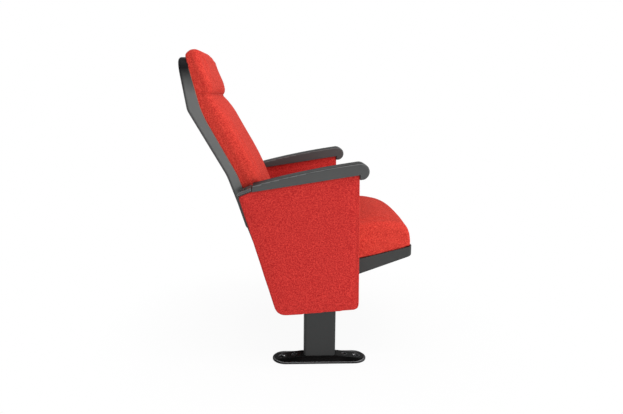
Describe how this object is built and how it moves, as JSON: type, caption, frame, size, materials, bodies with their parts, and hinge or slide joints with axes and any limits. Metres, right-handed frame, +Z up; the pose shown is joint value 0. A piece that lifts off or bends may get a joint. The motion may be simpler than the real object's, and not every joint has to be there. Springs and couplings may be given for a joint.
{
  "type": "tip up auditorium seat",
  "caption": "Upholstered tip-up seat with a high back, side panels with armrests and floor feet; the seat pan swings up on side hinges.",
  "frame": {"origin": "on the floor, midway between the two feet and midway along them", "axes": "+X the way the sitter faces, +Y the sitter's left, +Z up"},
  "size_m": [0.7561, 0.666, 1],
  "materials": {
    "red_fabric": "tightly woven red upholstery cloth",
    "black_plastic": "fine-grained dark grey-black moulded plastic",
    "black_steel": "smooth black powder coat",
    "cast_foot": "glossy black enamel on a casting",
    "zinc_steel": "zinc-plated steel",
    "plywood": "bare plywood",
    "nylon": "natural nylon",
    "spring_steel": "oiled spring steel",
    "rubber": "black rubber"
  },
  "bodies": {
    "stand": {"arm_screws": "zinc_steel", "armrest_left": "black_plastic", "armrest_right": "black_plastic", "back_anchor_left": "zinc_steel", "back_anchor_right": "zinc_steel", "back_board": "plywood", "back_bolts": "zinc_steel", "back_bracket_left": "black_steel", "back_bracket_right": "black_steel", "back_cushion": "red_fabric", "back_screws": "black_steel", "back_shell": "black_plastic", "bracket_screws": "black_steel", "foot_left": "cast_foot", "foot_right": "cast_foot", "hinge_bolts": "zinc_steel", "hinge_plate_left": "black_steel", "hinge_plate_right": "black_steel", "panel_inner_left": "red_fabric", "panel_inner_right": "red_fabric", "panel_outer_left": "red_fabric", "panel_outer_right": "red_fabric", "panel_screws": "zinc_steel", "pin_nuts": "zinc_steel", "pivot_pin_left": "zinc_steel", "pivot_pin_right": "zinc_steel", "pivot_sleeve_left": "black_plastic", "pivot_sleeve_right": "black_plastic", "post_bolts": "zinc_steel", "post_left": "black_steel", "post_right": "black_steel", "return_spring_left": "spring_steel", "return_spring_right": "spring_steel", "side_web_left": "black_steel", "side_web_right": "black_steel", "stop_buffers_left": "rubber", "stop_buffers_right": "rubber"},
    "seat": {"seat_pan": "black_plastic", "seat_board": "plywood", "seat_cushion": "red_fabric", "seat_arm_left": "black_steel", "seat_arm_right": "black_steel", "seat_arm_screws": "zinc_steel", "pan_screws": "black_steel", "stop_pin_left": "zinc_steel", "stop_pin_right": "zinc_steel", "pivot_bush_left": "nylon", "pivot_bush_right": "nylon"}
  },
  "joints": [
    {"name": "seat_tip", "type": "hinge", "parent": "stand", "child": "seat", "pos_m": [-0.055, 0, 0.345], "axis": [0, -1, 0], "range_deg": [0, 74], "stiffness_Nm_per_rad": 4.7, "springref_deg": 143.24, "deforming": ["return_spring_left", "return_spring_right"]}
  ]
}
